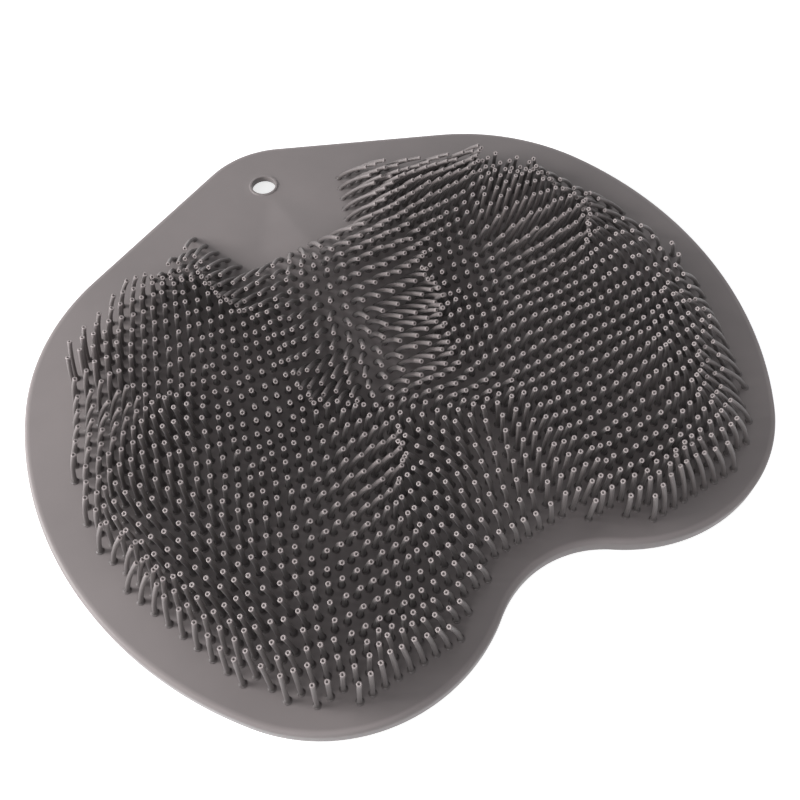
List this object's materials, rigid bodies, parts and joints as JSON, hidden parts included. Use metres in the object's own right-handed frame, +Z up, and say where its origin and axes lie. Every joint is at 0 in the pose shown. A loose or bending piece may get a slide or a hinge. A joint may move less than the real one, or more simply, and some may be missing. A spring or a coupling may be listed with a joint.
{
  "type": "back scrubber",
  "caption": "One-piece silicone pad with two round lobes, a hanging tab, a field of leaning bristles on top and suction cups below.",
  "frame": {"origin": "below the middle of the outline, in the plane that the cup rims stand on", "axes": "+X across the two lobes, +Y towards the tab with the hanging hole, +Z up along the bristles"},
  "size_m": [0.3006, 0.2668, 0.028],
  "materials": {
    "silicone": "satin"
  },
  "bodies": {
    "root": {"scrubber_pad": "silicone"}
  },
  "joints": []
}
